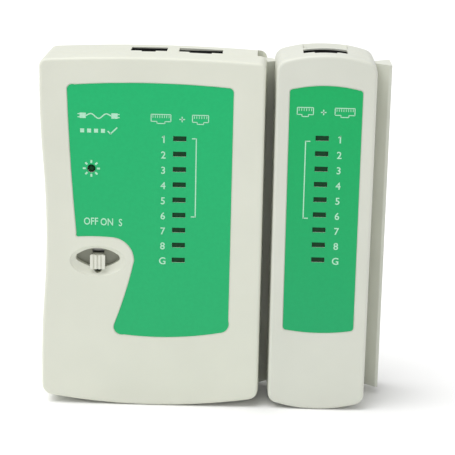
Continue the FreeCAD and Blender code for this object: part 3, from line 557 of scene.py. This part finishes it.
def print_plug(marks, x, z, side):
    """A plug seen from the side, its two blades pointing away from the cable."""
    long, tall = 1.7 * MM, 1.5 * MM
    blade_long, blade_tall, blade_off = 0.55 * MM, 0.28 * MM, 0.42 * MM
    marks.bar(x + side * long / 2, z, long, tall)
    for offset in (-blade_off, blade_off):
        marks.bar(x + side * (long + blade_long / 2), z + offset, blade_long, blade_tall)


def print_cable(marks, x, z, long):
    """A cable with a wave in it between two plugs."""
    plug_room, swing, steps = 2.2 * MM, 0.75 * MM, 28
    half = long / 2 - plug_room
    wave = []
    for number in range(steps + 1):
        share = number / steps
        height = math.sin(share * 3 * math.pi) * swing * math.sin(share * math.pi) ** 0.5
        wave.append((x - half + 2 * half * share, z + height))
    marks.stroke(wave, LINE * 1.1)
    print_plug(marks, x - half, z, -1)
    print_plug(marks, x + half, z, 1)


def print_check_row(marks, x, z):
    """Four squares in a row and a tick: each wire tested in turn."""
    first, pitch, square = x - 4.4 * MM, 1.9 * MM, 1.1 * MM
    for number in range(4):
        marks.bar(first + number * pitch, z, square, square)
    tick_low, tick_high, width = z - 0.85 * MM, z + 1.0 * MM, LINE * 1.2
    marks.stroke([(x + 2.6 * MM, z), (x + 3.4 * MM, tick_low)], width)
    marks.stroke([(x + 3.3 * MM, tick_low), (x + 5.2 * MM, tick_high)], width)


def print_rays(marks, x, z):
    """Eight short rays round the power lamp."""
    near, far, thick, rays = 1.55 * MM, 2.35 * MM, 0.5 * MM, 8
    reach = (near + far) / 2
    for number in range(rays):
        turn = number * 2 * math.pi / rays
        marks.bar(x + math.cos(turn) * reach, z + math.sin(turn) * reach, far - near, thick, turn)


def print_main(ink):
    """The main label: numbers left of the lamps, bracket right, title above, switch words."""
    marks = Print()
    lamp_x = middle("main_lamps").x
    heights = lamp_heights("main_lamps")
    print_numbers(marks, "main_lamps", lamp_x - 4.45 * MM)
    print_bracket(marks, lamp_x + 4.55 * MM, -1.2 * MM, heights[0] + 0.1 * MM,
                  heights[LAST_BRACKETED] - 0.4 * MM)
    title_z = heights[0] + 5.4 * MM
    print_jack(marks, lamp_x - 5.2 * MM, title_z, WIDE_JACK, WIDE_WAYS)
    print_plus(marks, lamp_x + 0.6 * MM, title_z)
    print_jack(marks, lamp_x + 5.6 * MM, title_z, NARROW_JACK, NARROW_WAYS)
    power = middle("power_lamp")
    print_rays(marks, power.x, power.z)
    print_cable(marks, power.x + 2.0 * MM, power.z + 14.8 * MM, 11.4 * MM)
    print_check_row(marks, power.x + 1.9 * MM, power.z + 10.6 * MM)
    words_z = power.z - 14.95 * MM
    knob_x = middle("switch_knob").x
    print_word(marks, "OFF", knob_x - 1.8 * MM, words_z)
    print_word(marks, "ON", knob_x + 2.65 * MM, words_z - 0.1 * MM)
    print_word(marks, "S", knob_x + 6.4 * MM, words_z - 0.2 * MM)
    marks.finish("main_print", ink, "main_unit")


def print_remote(ink):
    """The remote's label: bracket left of the lamps, numbers right, title above."""
    marks = Print()
    lamp_x = middle("remote_lamps").x
    heights = lamp_heights("remote_lamps")
    print_numbers(marks, "remote_lamps", lamp_x + 4.85 * MM)
    print_bracket(marks, lamp_x - 4.5 * MM, 1.3 * MM, heights[0] - 0.9 * MM,
                  heights[LAST_BRACKETED] - 1.05 * MM)
    title_z = heights[0] + 7.2 * MM
    label_x = middle("remote_label").x
    print_jack(marks, label_x - 5.6 * MM, title_z, NARROW_JACK, NARROW_WAYS)
    print_plus(marks, label_x - 0.6 * MM, title_z)
    print_jack(marks, label_x + 5.2 * MM, title_z, WIDE_JACK, WIDE_WAYS)
    marks.finish("remote_print", ink, "remote_unit")


# ---------------------------------------------------------------- films, lips, collar and battery

def make_film(name, body, label):
    """The label as a thinner film at the bottom of its recess, with the same windows."""
    mesh = bmesh.new()
    mesh.from_mesh(NODES[label].data)
    for vert in mesh.verts:
        if vert.co.y < FACE_Y:
            vert.co.y += FILM_SUNK
    for face in mesh.faces:
        face.smooth = False
    film = piece_from(name, mesh, finish_of(label))
    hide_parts(label)
    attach(film, body)


def front_outline(name):
    """The outer outline of a node's front face as X and Z, counter-clockwise from the front."""
    mesh = bmesh.new()
    mesh.from_mesh(NODES[name].data)
    bmesh.ops.remove_doubles(mesh, verts=mesh.verts, dist=0.001 * MM)
    limit = low(name).y + 0.01 * MM
    front = {face for face in mesh.faces if all(vert.co.y < limit for vert in face.verts)}
    beside = {}
    for edge in mesh.edges:
        if len(front.intersection(edge.link_faces)) == 1:
            for near, far in (edge.verts, reversed(edge.verts)):
                beside.setdefault(near, []).append(far)
    start = min(beside, key=lambda vert: (vert.co.x, vert.co.z))
    loop, before = [start], None
    while True:
        after = next(vert for vert in beside[loop[-1]] if vert is not before)
        if after is start:
            break
        before = loop[-1]
        loop.append(after)
    points = [(vert.co.x, vert.co.z) for vert in loop]
    mesh.free()
    pairs = zip(points, points[1:] + points[:1])
    area = sum(near[0] * far[1] - far[0] * near[1] for near, far in pairs)
    return points if area > 0 else points[::-1]


def make_lip(name, body, label, shell):
    """The moulded slope that leads from the case face down to the film, all round a label."""
    wide, play, rooted = 0.16 * MM, 0.04 * MM, 0.02 * MM
    outline = front_outline(label)
    outer, inner = inset(outline, -play), inset(outline, wide)
    mesh = ring([[(x, CASE_Y, z) for x, z in outer],
                 [(x, FACE_Y, z) for x, z in inner],
                 [(x, FACE_Y + rooted, z) for x, z in outer]])
    lip = piece_from(name, mesh, finish_of(shell))
    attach(lip, body)


def make_port_shade_collar():
    """A thin black collar that carries the remote's front socket up into the crown's opening; its
    black is partly the socket's own plastic and partly painted shade on the opening's walls.
    """
    socket = "remote_wide_socket"
    plug_half, latch_half, latch_deep = 6.1 * MM, 3.1 * MM, 1.5 * MM
    front_wall, back_wall, steps = 0.9 * MM, 0.6 * MM, 8
    x = middle(socket).x
    front, back = low(socket).y + front_wall, high(socket).y - back_wall
    shoulder = front + latch_deep
    outline = [(x - plug_half, back), (x - plug_half, shoulder), (x - latch_half, shoulder),
               (x - latch_half, front), (x + latch_half, front), (x + latch_half, shoulder),
               (x + plug_half, shoulder)]
    outline += [(x + plug_half - 2 * plug_half * step / steps, back) for step in range(steps)]
    outer, inner = inset(outline, 0.02 * MM), inset(outline, 0.14 * MM)
    # the crown falls away from the middle of the case, and the collar stops short of it
    crown, crown_drop, short = high("remote_front_shell").z, 0.47 * MM, 0.4 * MM
    foot = high(socket).z

    def top(place):
        return (*place, crown - crown_drop * ((place[0] - x) / plug_half) ** 2 - short)

    mesh = ring([[top(place) for place in outer], [top(place) for place in inner],
                 [(*place, foot) for place in inner], [(*place, foot) for place in outer]])
    # painted shade: the collar wears the socket's black so that the opening's walls look shadowed
    collar = piece_from("remote_port_shade_collar", mesh, finish_of(socket))
    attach(collar, "remote_unit")


def rounded_section(half_deep, half_tall, radius, shrink):
    """A rounded rectangle about the origin as Y and Z, made smaller all round by shrink."""
    steps = 6
    reach = radius - shrink
    points = []
    for corner, (side, upward) in enumerate(((1, 1), (-1, 1), (-1, -1), (1, -1))):
        for step in range(steps + 1):
            turn = (corner + step / steps) * math.pi / 2
            points.append((side * (half_deep - radius) + math.cos(turn) * reach,
                           upward * (half_tall - radius) + math.sin(turn) * reach))
    return points


def make_battery():
    """The battery with a rounded sleeve rolled over at both ends onto metal end plates."""
    first, last, centre = low("battery"), high("battery"), middle("battery")
    half = (last - first) / 2
    radius, roll, shoulder, rim, sunk = 2.0 * MM, 0.4 * MM, 0.12 * MM, 1.0 * MM, 0.5 * MM
    # each station is a distance in from the end and how much smaller the section is there
    profile = [(sunk, rim + roll / 2), (0, rim), (0, roll), (shoulder, shoulder), (roll, 0)]
    stations = [(first.x + inward, shrink) for inward, shrink in profile]
    stations += [(last.x - inward, shrink) for inward, shrink in reversed(profile)]
    mesh = bmesh.new()
    rows = []
    for x, shrink in stations:
        section = rounded_section(half.y, half.z, radius, shrink)
        rows.append([mesh.verts.new((x, centre.y + y, centre.z + z)) for y, z in section])
    for near, far in zip(rows, rows[1:]):
        band(mesh, near, far, smooth=True)
    for row in (rows[0], rows[-1]):
        mesh.faces.new(row).material_index = 1
    bmesh.ops.recalc_face_normals(mesh, faces=mesh.faces)
    battery = piece_from("battery_cell", mesh, finish_of("battery"))
    battery.data.materials.append(finish_of("battery_studs"))
    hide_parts("battery")
    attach(battery, "main_unit")


# ---------------------------------------------------------------- dressing the frame's parts

def dress(material, *names):
    """Gives CAD nodes one material."""
    for name in names:
        slots = NODES[name].data.materials
        slots.clear()
        slots.append(material)


def dress_cases():
    dress(shell_plastic("main_plastic", MAIN_PLASTIC), "main_front_shell", "main_rear_shell",
          "battery_cover")
    dress(shell_plastic("remote_plastic", REMOTE_PLASTIC), "remote_front_shell",
          "remote_rear_shell")
    dress(knob_plastic(), "switch_knob")
    dress(printed_film("main_film", (0.011, 0.425, 0.148), (0.004, 0.461, 0.152)), "main_label")
    dress(printed_film("remote_film", (0.007, 0.380, 0.134), (0.000, 0.421, 0.116)),
          "remote_label")
    dress(lamp_lens(), "main_lamps", "remote_lamps", "power_lamp")


def dress_metal():
    dress(metal("contact_gold", (0.80, 0.56, 0.20), 0.28, (1, 1, 0.1)), "main_wide_contacts",
          "main_narrow_contacts", "remote_wide_contacts", "remote_narrow_contacts")
    dress(metal("switch_metal", (0.62, 0.62, 0.60), 0.35, (0.1, 1, 1)), "switch_frame")
    dress(metal("stud_metal", (0.70, 0.70, 0.68), 0.25, (1, 1, 1)), "battery_studs")
    dress(metal("screw_steel", (0.60, 0.60, 0.58), 0.32, (1, 1, 1)), "main_case_screws",
          "main_board_screws", "remote_case_screws")


def dress_electronics():
    black = (0.02, 0.02, 0.02)
    dress(socket_black(), "main_wide_socket", "main_narrow_socket", "remote_wide_socket",
          "remote_narrow_socket")
    dress(board_green(), "main_circuit_board", "remote_circuit_board")
    dress(battery_sleeve(), "battery")
    dress(moulded("cap_black", black, 0.5, 0.04 * MM).material, "battery_snap_cap")
    dress(insulation("lead_red", (0.55, 0.02, 0.02)), "red_lead")
    dress(insulation("lead_black", black), "black_lead")
    dress(moulded("chip_black", (0.022, 0.022, 0.024), 0.55, 0.05 * MM, 0.1 * MM).material,
          "timer_chip", "counter_chip")
    dress(insulation("capacitor_sleeve", (0.02, 0.03, 0.12)), "capacitors")
    red, violet, orange, gold = ((0.35, 0.02, 0.02), (0.08, 0.02, 0.12), (0.6, 0.25, 0.02),
                                 (0.6, 0.42, 0.1))
    dress(banded("resistor_bands", "main_resistors", 6 * MM, (0.60, 0.45, 0.26),
                 [(0.3, red), (0.42, violet), (0.54, orange), (0.72, gold)]), "main_resistors")
    for unit in ("main", "remote"):
        diodes = f"{unit}_diodes"
        dress(banded(f"{unit}_diode_bands", diodes, 4 * MM, (0.50, 0.13, 0.05),
                     [(0.8, (0.01, 0.01, 0.01))]), diodes)


make_camera()
make_light()
make_floor()
dress_cases()
dress_metal()
dress_electronics()
for unit in ("main", "remote"):
    make_film(f"{unit}_film", f"{unit}_unit", f"{unit}_label")
for unit in ("main", "remote"):
    make_lip(f"{unit}_label_lip", f"{unit}_unit", f"{unit}_label", f"{unit}_front_shell")
make_port_shade_collar()
make_battery()
ink = print_ink()
print_main(ink)
print_remote(ink)
